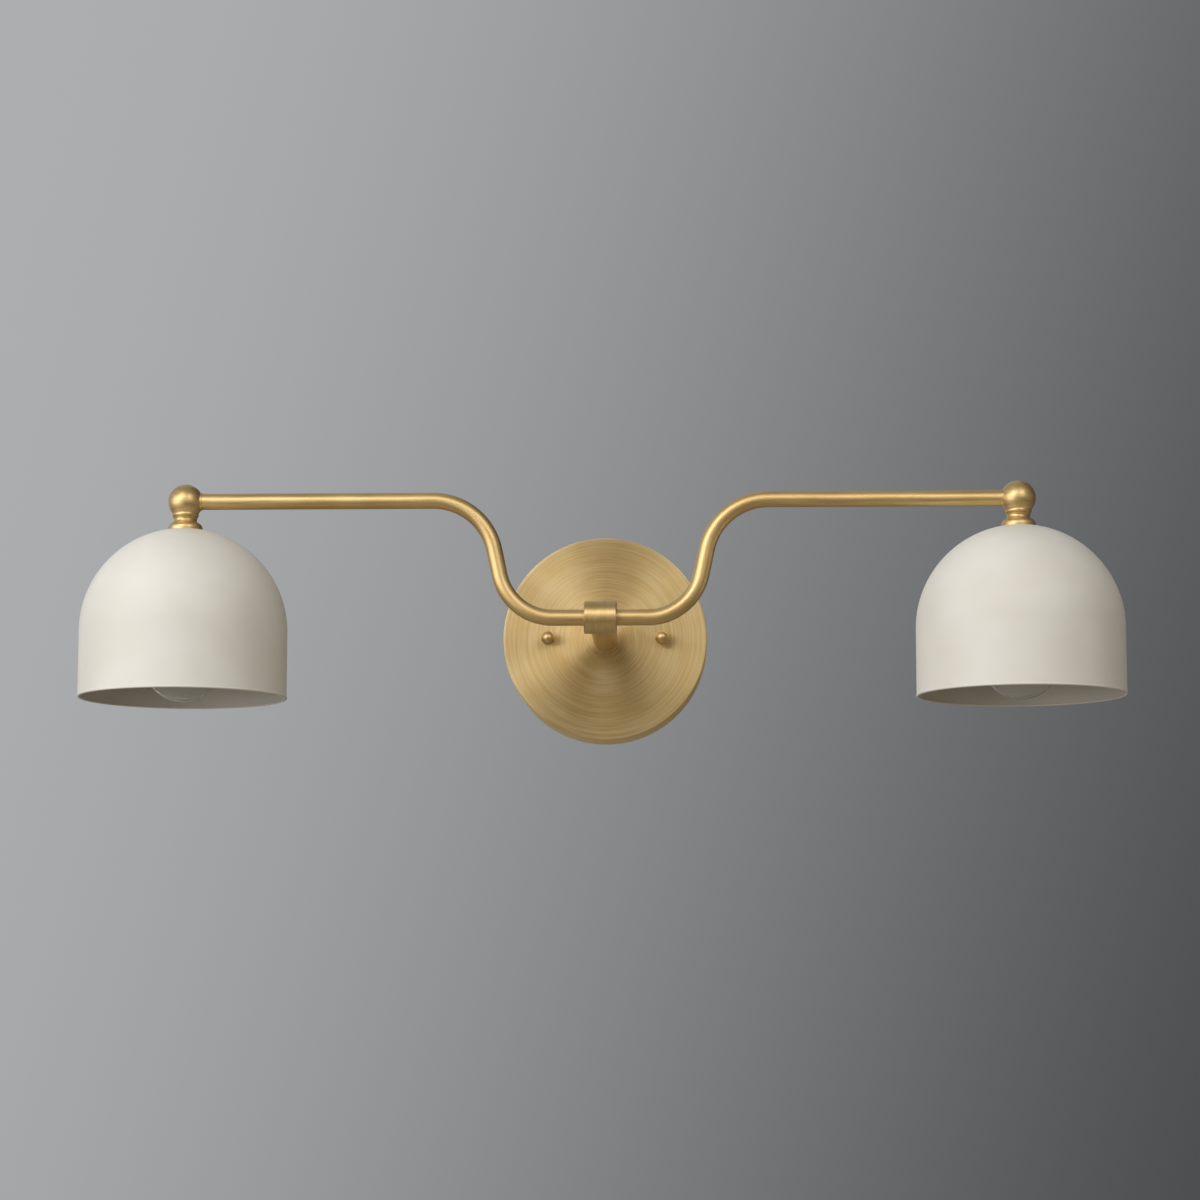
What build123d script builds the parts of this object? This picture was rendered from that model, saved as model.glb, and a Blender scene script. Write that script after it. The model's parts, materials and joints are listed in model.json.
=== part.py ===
from build123d import *
from math import cos, radians, sin, sqrt
import os

# Double arm wall sconce, in millimetres.
# The origin is the centre of the backplate on the wall. +Z is up, +X is to the right of a person
# who faces the wall, and -Y points out of the wall into the room.

# ---- driving dimensions ----
plate_d = 125.0  # round backplate
plate_depth = 30.0
plate_wall = 1.2
plate_edge = 1.0  # rounding of its front edge
stud_spacing = 70.0  # two studs, 2 3/4 in apart as on an outlet box
axis_out = 130.0  # from the wall to the axis of the arms
arm_reach = 244.0  # from the middle to the centre of each ball
arm_rise = 69.5  # from the collar up to the level run of each arm
lower_corner = 53.5  # where the middle run and the slanted run would cross
upper_corner = 68.5  # where the slanted run and the level run would cross
lower_bend = 32.0
upper_bend = 37.0
tube_d = 9.5
tube_wall = 1.0
collar_d = 19.0
collar_length = 19.0
post_d = 15.0
ball_d = 20.5
neck_d = 20.1  # flange of the neck, where it sits on the shade
shade_d = 121.0
shade_height = 100.0  # a half ball on a straight skirt
shade_wall = 1.0
rim_drop = 116.2  # from the centre of the ball down to the rim of the shade
bulb_d = 47.4
bulb_length = 80.0
bulb_rise = 21.9  # centre of the bulb's globe above the rim
bulb_base_d = 26.1  # medium screw base

running_gap = 0.05  # radial, between a turning tube and its bore
free_gap = 0.3  # between the bulb's base and its socket

# ---- standard threads and hardware ----
nipple_d = 10.0  # threaded lamp nipple
nipple_bore = 6.0
nipple_play = 0.2  # how much wider its through holes are
stud_d = 4.0
stud_play = 0.4
nipple_nut_flats = 14.0
stud_nut_flats = 7.0
stud_nut_thick = 2.4
key_depth = 1.6  # of the hexagon socket in a grub screw
lead_d = 1.5  # one insulated wire
twin_lead_d = 2.8  # two wires in one sleeve
beyond = 1.0  # how far a cutter runs past the face it goes through

# ---- mounting plate ----
strap_d = 108.0
strap_thick = 1.6
box_screws_min = 70.0  # 2 3/4 in outlet box
box_screws_max = 89.0  # 3 1/2 in outlet box
box_slot_width = 5.0
window_d = 20.0  # holes for the house wires
window_z = 19.0
ground_place = (-20.0, -22.0)  # x and z

# ---- levels along the post, measured from the wall ----
plate_inside = plate_depth - plate_wall
seat_thick = 1.2
seat_step = 0.8
post_foot = plate_depth + seat_thick + seat_step
nipple_in_post = 12.0
nipple_behind = 7.0  # behind the face of the backplate
washer_d = 19.0
washer_thick = 1.2
nut_thick = 4.0
tenon_d = 10.0
tenon_end = axis_out - 5.6
stud_end = plate_depth + 6.5

# ---- levels below the centre of a ball ----
bead_top = 6.9
bead_bottom = 9.0
shoulder_top = 12.7
shoulder_bottom = 16.0
dome_r = shade_d / 2
dome_centre = rim_drop - shade_height + dome_r
seat_r = 10.6  # flat spot at the crown of the shade
seat_level = dome_centre - sqrt(dome_r**2 - seat_r**2)
spigot_d = 14.0
ring_nut_level = seat_level + shade_wall
cup_level = 21.1
cup_wall = 1.0
cup_d = 35.0
cup_bottom = 46.8
cup_shoulder = 3.0  # rounding between its roof and its side
spigot_end = 23.1
head_washer_thick = 1.0
head_nut_thick = 3.5
nipple_top = 5.3
nipple_end = 28.4
socket_top = 29.8
socket_floor = 37.2
socket_mouth = 63.1
shell_wall = 0.4
shell_d = bulb_base_d + 2 * free_gap + 2 * shell_wall
shell_top = 39.8
shell_bottom = 62.3
glass_top = 60.8  # where the bulb's glass ends, inside its base
tip_level = rim_drop - bulb_rise + bulb_d / 2 - bulb_length

# ---- end of the arm inside the ball, measured from the centre of the ball ----
tube_end = 8.0
spigot_tip = 3.0
groove_from = 3.5
groove_to = 6.9
groove_depth = 1.0
pin_d = 3.0
lip_d = 10.2  # short lip of the ball round the tube
lip_end = 9.9

EVEN = (Align.CENTER, Align.CENTER, Align.CENTER)
RISING = (Align.CENTER, Align.CENTER, Align.MIN)


def rod(diameter, start, end):
    """Round bar from one point to another."""
    run = Vector(*end) - Vector(*start)
    return Plane(origin=start, z_dir=run) * Cylinder(diameter / 2, run.length, align=RISING)


def tube(outer, inner, start, end):
    return rod(outer, start, end) - rod(inner, start, end)


def hexagon(flats, start, end):
    """Hexagon bar from one point to another."""
    run = Vector(*end) - Vector(*start)
    section = RegularPolygon(flats / 2, 6, major_radius=False)
    return Plane(origin=start, z_dir=run) * extrude(section, run.length)


def outline(*points):
    """Closed outline of straight lines in the X-Z plane, from pairs of radius and height."""
    return Polyline([(r, 0, z) for r, z in points], close=True)


def line(start, end):
    return Line((start[0], 0, start[1]), (end[0], 0, end[1]))


def arc(start, middle, end):
    return ThreePointArc(*[(r, 0, z) for r, z in (start, middle, end)])


def turned(*edges):
    """Solid turned about the vertical axis through the origin."""
    return revolve(make_face(edges), Axis.Z)


def out(distance, x=0.0, z=0.0):
    """Point at a distance out of the wall."""
    return (x, -distance, z)


def toward_room(shape):
    """Lay a turned shape down, so that its +Z points out of the wall."""
    return Plane(origin=(0, 0, 0), x_dir=(1, 0, 0), z_dir=(0, -1, 0)) * shape


# ---- on the wall ----
def mounting_plate():
    plate = rod(strap_d, out(0), out(strap_thick))
    slot_centre = (box_screws_min + box_screws_max) / 4
    slot_length = (box_screws_max - box_screws_min) / 2 + box_slot_width
    slot = SlotOverall(slot_length, box_slot_width, rotation=90)
    near, far = -beyond, strap_thick + beyond
    for side in (-1, 1):
        x = side * stud_spacing / 2
        plate -= rod(stud_d, out(near, x), out(far, x))
        plate -= rod(window_d, out(near, z=side * window_z), out(far, z=side * window_z))
        cutter = extrude(Pos(0, side * slot_centre) * slot, far - near)
        plate -= Pos(0, beyond, 0) * toward_room(cutter)
    x, z = ground_place
    return plate - rod(stud_d, out(near, x, z), out(far, x, z))


def stud_places():
    return [-stud_spacing / 2, stud_spacing / 2]


def fixture_studs():
    return [rod(stud_d, out(0, x), out(stud_end, x)) for x in stud_places()]


def stud_lock_nuts():
    nuts = []
    for x in stud_places():
        near, far = out(strap_thick, x), out(strap_thick + stud_nut_thick, x)
        nuts.append(hexagon(stud_nut_flats, near, far) - rod(stud_d, near, far))
    return nuts


def ground_screw():
    """Slotted hexagon screw with a flange."""
    x, z = ground_place
    flange_d, flats, slot_width, slot_depth = 8.5, 6.4, 1.0, 0.8
    flange_top = strap_thick + 0.8
    head_top = strap_thick + 3.4
    shank = rod(stud_d, out(0, x, z), out(strap_thick, x, z))
    flange = rod(flange_d, out(strap_thick, x, z), out(flange_top, x, z))
    head = hexagon(flats, out(flange_top, x, z), out(head_top, x, z))
    slot = Pos(x, -head_top, z) * Box(flange_d, 2 * slot_depth, slot_width, align=EVEN)
    return shank + flange + head - slot


def backplate():
    """Spun cup: a flat face and a straight rim that is open to the wall."""
    r, inner = plate_d / 2, plate_d / 2 - plate_wall
    edge = plate_edge
    middle = edge * (1 - cos(radians(45)))
    face = [
        line((0, plate_depth), (r - edge, plate_depth)),
        arc((r - edge, plate_depth), (r - middle, plate_depth - middle), (r, plate_depth - edge)),
        line((r, plate_depth - edge), (r, 0)),
        line((r, 0), (inner, 0)),
        line((inner, 0), (inner, plate_inside)),
        line((inner, plate_inside), (0, plate_inside)),
        line((0, plate_inside), (0, plate_depth)),
    ]
    cup = toward_room(turned(*face))
    near, far = plate_inside - beyond, plate_depth + beyond
    cup -= rod(nipple_d + nipple_play, out(near), out(far))
    for x in stud_places():
        cup -= rod(stud_d + stud_play, out(near, x), out(far, x))
    return cup


def cap_nuts():
    """Round-headed nuts on the two studs."""
    foot_d, foot_length, head_d, sunk = 6.0, 1.6, 8.3, 0.6
    head_out = plate_depth + foot_length + head_d / 2 - sunk
    nuts = []
    for x in stud_places():
        nut = rod(foot_d, out(plate_depth, x), out(head_out, x)) + Pos(x, -head_out, 0) * Sphere(head_d / 2)
        nuts.append(nut - rod(stud_d, out(plate_depth - beyond, x), out(stud_end, x)))
    return nuts


def post_seat_ring():
    """Stepped washer between the backplate and the post."""
    wide, narrow, break_edge = 21.0, 16.4, 0.3
    bore = nipple_d + nipple_play
    step = plate_depth + seat_thick
    base = tube(wide, bore, out(plate_depth), out(step))
    front_edges = base.edges().filter_by(GeomType.CIRCLE).sort_by(Axis.Y)[:2]
    base = chamfer(front_edges.sort_by(SortBy.RADIUS)[-1], break_edge)
    return base + tube(narrow, bore, out(step), out(post_foot))


def collar_body():
    return rod(collar_d, (-collar_length / 2, -axis_out, 0), (collar_length / 2, -axis_out, 0))


def post():
    """Round post, coped to the collar, with a threaded tenon that screws into it."""
    bar = rod(post_d, out(post_foot), out(axis_out)) - collar_body()
    bar += rod(tenon_d, out(axis_out - collar_d), out(tenon_end))
    wire_bore = 6.4
    bar -= rod(wire_bore, out(post_foot), out(tenon_end))
    return bar - rod(nipple_d, out(post_foot), out(post_foot + nipple_in_post))


def post_nipple():
    return tube(nipple_d, nipple_bore, out(plate_inside - nipple_behind), out(post_foot + nipple_in_post))


def nipple_washer():
    return tube(washer_d, nipple_d, out(plate_inside - washer_thick), out(plate_inside))


def nipple_nut():
    near = plate_inside - washer_thick - nut_thick
    far = near + nut_thick
    return hexagon(nipple_nut_flats, out(near), out(far)) - rod(nipple_d, out(near), out(far))


def collar():
    """Cross-bored for the tube, and tapped below for the post and above for a grub screw."""
    break_edge = 0.5
    body = chamfer(collar_body().edges().filter_by(GeomType.CIRCLE), break_edge)
    bore = tube_d + 2 * running_gap
    body -= rod(bore, (-collar_length, -axis_out, 0), (collar_length, -axis_out, 0))
    body -= rod(tenon_d, out(axis_out - collar_d), out(tenon_end))
    return body - rod(stud_d, out(axis_out), out(axis_out, z=collar_d))


def collar_grub_screw():
    tip = tube_d / 2 + running_gap
    sunk, key_flats = 0.4, 2.0
    top = collar_d / 2 - sunk
    screw = rod(stud_d, out(axis_out, z=tip), out(axis_out, z=top))
    return screw - hexagon(key_flats, out(axis_out, z=top - key_depth), out(axis_out, z=top + beyond))


cap_x, cap_out = 18.0, 13.0  # place of each twist-on cap behind the backplate
cap_top, cap_bottom, cap_r = -24.0, -41.0, 5.2
wire_pair_gap = 1.1  # from the middle of two wires to the centre of either


def wire_connectors():
    """Twist-on caps, each over the ends of two wires."""
    tip_r, skirt = 3.2, 2.0
    profile = outline(
        (0, cap_bottom), (tip_r, cap_bottom), (cap_r, cap_top - skirt), (cap_r, cap_top), (0, cap_top)
    )
    cap = turned(*profile.edges())
    return [Pos(side * cap_x, -cap_out, 0) * cap - wires() for side in (-1, 1)]


def wire_route(side, level):
    """One wire: up out of its cap, across to the nipple, and out along the post."""
    bend = 5.0
    in_cap = 6.0
    off = wire_pair_gap * level
    x = side * (cap_x + off)
    start = (x, -cap_out, cap_top - in_cap)
    corner = (x, -cap_out, off - bend)
    near = (side * wire_pair_gap, -cap_out, off)
    far = (side * wire_pair_gap, 2.0 - tenon_end, off)
    return FilletPolyline([start, corner, near, far], radius=bend)


def wires():
    swept = []
    for side in (-1, 1):
        for level in (-1, 1):
            route = wire_route(side, level)
            section = Plane(origin=route @ 0, z_dir=route % 0) * Circle(lead_d / 2)
            swept.append(sweep(section, path=route))
    return swept


# ---- the arm ----
def arm_route(end):
    """Centre line of the bent tube, from one end to the other."""
    z = arm_rise
    half = [(lower_corner, 0), (upper_corner, z), (end, z)]
    places = [(-x, -axis_out, h) for x, h in reversed(half)] + [(x, -axis_out, h) for x, h in half]
    return FilletPolyline(places, radius=[upper_bend, lower_bend, lower_bend, upper_bend])


def arm_tube():
    """One length of tube from ball to ball, with a slot at the back for the wires."""
    route = arm_route(arm_reach - tube_end)
    start = Plane(origin=route @ 0, z_dir=route % 0)
    bent = sweep(start * Circle(tube_d / 2), path=route)
    bent -= sweep(start * Circle(tube_d / 2 - tube_wall), path=route)
    slot_width, slot_from, slot_height = 6.0, 2.8, 12.0
    slot = Box(slot_width, tube_d, slot_height, align=(Align.CENTER, Align.MIN, Align.CENTER))
    return bent - Pos(0, -axis_out + slot_from, 0) * slot


def arm_leads():
    """Twin leads in the tube, from the middle to the inside of each ball."""
    leads = []
    start_x, end_x = 2.5, arm_reach - spigot_tip - 1.0
    corners = [(start_x, 0), (lower_corner, 0), (upper_corner, arm_rise), (end_x, arm_rise)]
    for side in (-1, 1):
        places = [(side * x, -axis_out, z) for x, z in corners]
        route = FilletPolyline(places, radius=[lower_bend, upper_bend])
        section = Plane(origin=route @ 0, z_dir=route % 0) * Circle(twin_lead_d / 2)
        leads.append(sweep(section, path=route))
    return leads


def arm_spigot(side):
    """Turned bush pressed into the tube's end. The ball turns on it, held by a pin in its groove."""

    in_tube, wire_bore = 12.0, 4.2

    def place(from_ball):
        return (side * (arm_reach - from_ball), -axis_out, arm_rise)

    bush = rod(tube_d, place(tube_end), place(spigot_tip))
    bush += rod(tube_d - 2 * tube_wall, place(tube_end + in_tube), place(tube_end))
    bush -= tube(tube_d + beyond, tube_d - 2 * groove_depth, place(groove_to), place(groove_from))
    return bush - rod(wire_bore, place(tube_end + in_tube + beyond), place(spigot_tip - beyond))


# ---- one head, built about the centre of its ball; side is -1 for the left head, 1 for the right ----
def ball(side):
    """Turned ball with a bead below it, bored from the side for the arm and from below for the nipple."""
    bead_r, bead_middle_r, bead_foot_r = 7.5, 7.85, 7.3
    bore_end, wire_bore = 2.4, 7.0
    bead_middle = (bead_top + bead_bottom) / 2
    bead = turned(
        line((0, -bead_top), (bead_r, -bead_top)),
        arc((bead_r, -bead_top), (bead_middle_r, -bead_middle), (bead_foot_r, -bead_bottom)),
        line((bead_foot_r, -bead_bottom), (0, -bead_bottom)),
        line((0, -bead_bottom), (0, -bead_top)),
    )
    lip = rod(lip_d, (-side * bore_end, 0, 0), (-side * lip_end, 0, 0))
    seam_at_the_back = Rot(0, 0, 90)
    body = seam_at_the_back * Sphere(ball_d / 2) + bead + lip
    body -= rod(ball_d, (0, 0, -ball_d), (0, 0, -bead_bottom))
    body -= rod(tube_d + 2 * running_gap, (-side * ball_d, 0, 0), (-side * bore_end, 0, 0))
    body -= rod(wire_bore, (0, 0, 0), (0, 0, -ball_d))
    body -= rod(nipple_d, (0, 0, -nipple_top), (0, 0, -ball_d))
    pin_x = -side * (groove_from + groove_to) / 2
    return body - rod(pin_d, (pin_x, 0, 0), (pin_x, ball_d, 0))


def ball_pin(side):
    """Grub screw in the back of the ball, whose tip runs in the groove of the arm's bush."""
    pin_x = -side * (groove_from + groove_to) / 2
    tip, head, key_flats = tube_d / 2 - groove_depth + free_gap, 8.4, 1.5
    screw = rod(pin_d, (pin_x, tip, 0), (pin_x, head, 0))
    return screw - hexagon(key_flats, (pin_x, head - key_depth, 0), (pin_x, head + beyond, 0))


def head_nipple():
    return tube(nipple_d, nipple_bore, (0, 0, -nipple_end), (0, 0, -nipple_top))


def neck():
    """Turned neck: a cove, a round shoulder, and a spigot that goes through the shade."""
    bore, spigot, flange = nipple_d / 2, spigot_d / 2, neck_d / 2
    lip, cove_top = (7.0, -bead_bottom), (7.35, -bead_bottom - 0.35)
    cove_middle, cove_foot = (6.7, -11.0), (7.6, -shoulder_top + 0.15)
    shoulder, shoulder_middle = (7.75, -shoulder_top), (9.42, -shoulder_top - 1.29)
    shoulder_foot = (flange, -shoulder_bottom)
    return turned(
        line((bore, -bead_bottom), lip),
        line(lip, cove_top),
        arc(cove_top, cove_middle, cove_foot),
        line(cove_foot, shoulder),
        arc(shoulder, shoulder_middle, shoulder_foot),
        line(shoulder_foot, (flange, -seat_level)),
        line((flange, -seat_level), (spigot, -seat_level)),
        line((spigot, -seat_level), (spigot, -spigot_end)),
        line((spigot, -spigot_end), (bore, -spigot_end)),
        line((bore, -spigot_end), (bore, -bead_bottom)),
    )


def dome_arc(radius, top, bottom):
    """Arc of the dome between two heights below the ball, on a given radius about its centre."""

    def place(level):
        return (sqrt(radius**2 - (dome_centre - level) ** 2), -level)

    return arc(place(top), place((top + bottom) / 2), place(bottom))


def shade():
    """Spun shade: a dome with a flat seat at its crown, a straight skirt and a rolled rim."""
    outer, inner = dome_r, dome_r - shade_wall
    hole = spigot_d / 2
    roll = 1.6
    roll_top, roll_mid = -(rim_drop - roll), -(rim_drop - roll / 2)
    roll_bottom = ((outer + inner) / 2, -rim_drop)
    swell = 0.35
    seat_inside = sqrt(inner**2 - (dome_centre - ring_nut_level) ** 2)
    return turned(
        line((hole, -seat_level), (seat_r, -seat_level)),
        dome_arc(outer, seat_level, dome_centre),
        line((outer, -dome_centre), (outer, roll_top)),
        arc((outer, roll_top), (outer + swell, roll_mid), roll_bottom),
        arc(roll_bottom, (inner - swell, roll_mid), (inner, roll_top)),
        line((inner, roll_top), (inner, -dome_centre)),
        dome_arc(inner, ring_nut_level, dome_centre),
        line((seat_inside, -ring_nut_level), (hole, -ring_nut_level)),
        line((hole, -ring_nut_level), (hole, -seat_level)),
    )


def shade_ring_nut():
    """Notched ring that clamps the shade to the neck from inside."""
    ring_d, notch = 20.4, 2.4
    ring = tube(ring_d, spigot_d, (0, 0, -cup_level), (0, 0, -ring_nut_level))
    cutter = Pos(ring_d / 2, 0, -cup_level) * Box(notch, notch, ring_d / 2, align=EVEN)
    for turn in range(0, 360, 45):
        ring -= Rot(0, 0, turn) * cutter
    return ring


def socket_cup():
    """Drawn cup over the socket, screwed to the neck's spigot."""
    r, inner, hole = cup_d / 2, cup_d / 2 - cup_wall, spigot_d / 2
    middle = cup_shoulder * (1 - sin(radians(45)))
    shoulder_end = cup_level + cup_shoulder
    roof_r, roof = inner - 1.8, cup_level + 1.2
    return turned(
        line((hole, -cup_level), (r - cup_shoulder, -cup_level)),
        arc((r - cup_shoulder, -cup_level), (r - middle, -cup_level - middle), (r, -shoulder_end)),
        line((r, -shoulder_end), (r, -cup_bottom)),
        line((r, -cup_bottom), (inner, -cup_bottom)),
        line((inner, -cup_bottom), (inner, -shoulder_end)),
        line((inner, -shoulder_end), (roof_r, -roof)),
        line((roof_r, -roof), (hole, -roof)),
        line((hole, -roof), (hole, -cup_level)),
    )


def head_washer():
    outside = 17.6
    return tube(outside, nipple_d, (0, 0, -spigot_end - head_washer_thick), (0, 0, -spigot_end))


def head_nut():
    top = (0, 0, -spigot_end - head_washer_thick)
    bottom = (0, 0, -spigot_end - head_washer_thick - head_nut_thick)
    return hexagon(nipple_nut_flats, bottom, top) - rod(nipple_d, bottom, top)


def socket_body():
    """Glazed ceramic body, held in the cup."""
    break_edge, wire_hole = 0.8, 5.0
    body = rod(cup_d - 2 * cup_wall, (0, 0, -socket_mouth), (0, 0, -socket_top))
    lip = body.edges().filter_by(GeomType.CIRCLE).sort_by(Axis.Z)[0]
    body = chamfer(lip, break_edge)
    body -= rod(shell_d, (0, 0, -socket_mouth - beyond), (0, 0, -socket_floor))
    return body - rod(wire_hole, (0, 0, -socket_floor - beyond), (0, 0, -socket_top + beyond))


def socket_shell():
    return tube(shell_d, shell_d - 2 * shell_wall, (0, 0, -shell_bottom), (0, 0, -shell_top))


def socket_contact():
    """Centre contact on the socket's floor: a strip with a raised button."""
    length, width, thick, button_d, tip_gap = 18.0, 6.0, 0.5, 5.6, 0.1
    strip = Pos(0, 0, -socket_floor - thick / 2) * Box(length, width, thick, align=EVEN)
    return strip + rod(button_d, (0, 0, -tip_level + tip_gap), (0, 0, -socket_floor - thick / 2))


def terminal_screws():
    """Slotted heads of the two wire screws, on top of the socket."""
    head_size, head_height, off_centre = 4.4, 1.6, 11.0
    slot_width, slot_depth = 0.8, 0.6
    top = head_height - socket_top
    screws = []
    for side in (-1, 1):
        x = side * off_centre
        slot = Pos(x, 0, top) * Box(slot_width, head_size + beyond, 2 * slot_depth, align=EVEN)
        screws.append(rod(head_size, (x, 0, -socket_top), (x, 0, top)) - slot)
    return screws


def head_lead():
    in_ball, above_socket = 3.0, 0.4
    return rod(twin_lead_d, (0, 0, above_socket - socket_top), (0, 0, -in_ball))


# ---- one bulb, on the axis of its head ----
globe_r = bulb_d / 2
globe_centre = rim_drop - bulb_rise
glass_wall = 0.8
bulb_neck_r = 12.0
stem_end = 86.8
thread_root_r = 12.4
thread_top_r = 11.2  # where the metal base meets the black insulator
base_top = tip_level + 4.1
shoulder_turn = radians(45)  # how far the glass turns from its neck to where the globe begins
shoulder_bend = (globe_r * cos(shoulder_turn) - bulb_neck_r) / (1 - cos(shoulder_turn))
shoulder_level = globe_centre - globe_r * sin(shoulder_turn) - shoulder_bend * sin(shoulder_turn)


def glass_edges(inset):
    """Neck, shoulder and globe of the bulb, moved inwards by the inset."""
    bend, ball_r = shoulder_bend + inset, globe_r - inset
    centre = (bulb_neck_r + shoulder_bend, -shoulder_level)
    half = shoulder_turn / 2
    top = (bulb_neck_r - inset, -glass_top)
    start = (bulb_neck_r - inset, -shoulder_level)
    middle = (centre[0] - bend * cos(half), centre[1] - bend * sin(half))
    join = (ball_r * cos(shoulder_turn), -globe_centre + ball_r * sin(shoulder_turn))
    belly = (ball_r * cos(half), -globe_centre - ball_r * sin(half))
    return [line(top, start), arc(start, middle, join), arc(join, belly, (0, -globe_centre - ball_r))]


def bulb_glass():
    outer, inner = glass_edges(0.0), glass_edges(glass_wall)
    top = line((bulb_neck_r - glass_wall, -glass_top), (bulb_neck_r, -glass_top))
    foot = line((0, -globe_centre - globe_r + glass_wall), (0, -globe_centre - globe_r))
    return turned(top, *outer, foot, *inner)


def bulb_base():
    """Screw base, its thread drawn as rounded rings, with the cement that holds the glass."""
    crest, root, pitch, turns = bulb_base_d / 2, thread_root_r, 3.6, 4
    first = tip_level + 5.6
    edges = [line((thread_top_r, -base_top), (root, -first))]
    for turn in range(turns):
        top = first + turn * pitch
        edges.append(arc((root, -top), (crest, -top - pitch / 2), (root, -top - pitch)))
    skirt_top = first + turns * pitch
    skirt_full = skirt_top + 0.8
    skirt_end = skirt_top + 6.4
    edges += [
        line((root, -skirt_top), (crest, -skirt_full)),
        line((crest, -skirt_full), (crest, -skirt_end)),
        line((crest, -skirt_end), (bulb_neck_r, -skirt_end)),
        line((bulb_neck_r, -skirt_end), (bulb_neck_r, -glass_top)),
        line((bulb_neck_r, -glass_top), (thread_top_r, -glass_top)),
        line((thread_top_r, -glass_top), (thread_top_r, -base_top)),
    ]
    return turned(*edges)


tip_thick, tip_r = 0.9, 4.6


def bulb_insulator():
    """Black glass cone between the base and the contact at its end."""
    top, foot = tip_level + tip_thick, base_top + 2.0
    wide = (thread_top_r, -base_top)
    profile = outline((0, -top), (tip_r, -top), wide, (thread_top_r, -foot), (0, -foot))
    return turned(*profile.edges())


def bulb_tip():
    break_edge = 0.5
    button = rod(2 * tip_r, (0, 0, -tip_level - tip_thick), (0, 0, -tip_level))
    return chamfer(button.edges().filter_by(GeomType.CIRCLE).sort_by(Axis.Z)[-1], break_edge)


def bulb_stem():
    """Glass mount that carries the filament's wires down from the neck."""
    inner = bulb_neck_r - glass_wall
    rim_top, rim_foot = 61.3, 62.3
    flare = [(0, -rim_foot), (8.0, -rim_foot), (inner, -rim_top), (inner, -rim_foot), (8.5, -63.8), (3.4, -69.8)]
    pinch = [(2.8, -84.8), (0, -stem_end)]
    return turned(*outline(*flare, *pinch).edges()) - bulb_filament()


def bulb_filament():
    """Two support wires with a wound filament hung between their ends."""
    end_x, level, sag, coil_d = 6.5, 106.3, 1.2, 1.2
    wire_d, wire_x, in_stem, past_coil = 0.7, 1.4, 1.5, 0.4
    coil = ThreePointArc((-end_x, 0, -level), (0, 0, -level - sag), (end_x, 0, -level))
    section = Plane(origin=coil @ 0, z_dir=coil % 0) * Circle(coil_d / 2)
    hung = sweep(section, path=coil)
    for side in (-1, 1):
        top, foot = (side * wire_x, 0, in_stem - stem_end), (side * end_x, 0, -level - past_coil)
        hung += rod(wire_d, top, foot)
    return hung


# ---- the whole ----
pieces = {
    "mounting_plate": mounting_plate(),
    "fixture_studs": fixture_studs(),
    "stud_lock_nuts": stud_lock_nuts(),
    "ground_screw": ground_screw(),
    "backplate": backplate(),
    "cap_nuts": cap_nuts(),
    "post_seat_ring": post_seat_ring(),
    "post": post(),
    "post_nipple": post_nipple(),
    "nipple_washer": nipple_washer(),
    "nipple_nut": nipple_nut(),
    "collar": collar(),
    "collar_grub_screw": collar_grub_screw(),
    "wire_connectors": wire_connectors(),
    "post_leads": wires(),
    "arm_tube": arm_tube(),
    "arm_leads": arm_leads(),
}

head_pieces = {
    "neck": neck(),
    "nipple": head_nipple(),
    "shade": shade(),
    "shade_ring_nut": shade_ring_nut(),
    "socket_cup": socket_cup(),
    "head_washer": head_washer(),
    "head_nut": head_nut(),
    "socket_body": socket_body(),
    "socket_shell": socket_shell(),
    "socket_contact": socket_contact(),
    "terminal_screws": terminal_screws(),
    "head_lead": head_lead(),
    "bulb_glass": bulb_glass(),
    "bulb_base": bulb_base(),
    "bulb_insulator": bulb_insulator(),
    "bulb_tip": bulb_tip(),
    "bulb_stem": bulb_stem(),
    "bulb_filament": bulb_filament(),
}

for name, side in (("left", -1), ("right", 1)):
    pieces[f"{name}_arm_spigot"] = arm_spigot(side)
    centre = Pos(side * arm_reach, -axis_out, arm_rise)
    own_pieces = {"ball": ball(side), "ball_pin": ball_pin(side), **head_pieces}
    for piece, shape in own_pieces.items():
        solids = shape if isinstance(shape, list) else [shape]
        pieces[f"{name}_{piece}"] = [centre * solid for solid in solids]

os.makedirs("parts", exist_ok=True)
for name, shape in pieces.items():
    solids = [solid for item in (shape if isinstance(shape, list) else [shape]) for solid in item.solids()]
    whole = solids[0] if len(solids) == 1 else Compound(children=solids)
    export_step(whole, f"parts/{name}.step")
print(len(pieces), "nodes")
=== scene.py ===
# %% [markdown]
# # Double arm wall light in satin brass, with two cream dome shades
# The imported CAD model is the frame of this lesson. Every piece is built in metres where the CAD
# has it: +Z is up, the wall is the plane y = 0, and the room is on the side of -Y. Sizes below are
# written in millimetres, as a maker would, and turned to metres by one value.

# %% Load the frame
import json
import math
import bpy
from mathutils import Matrix, Vector


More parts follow.
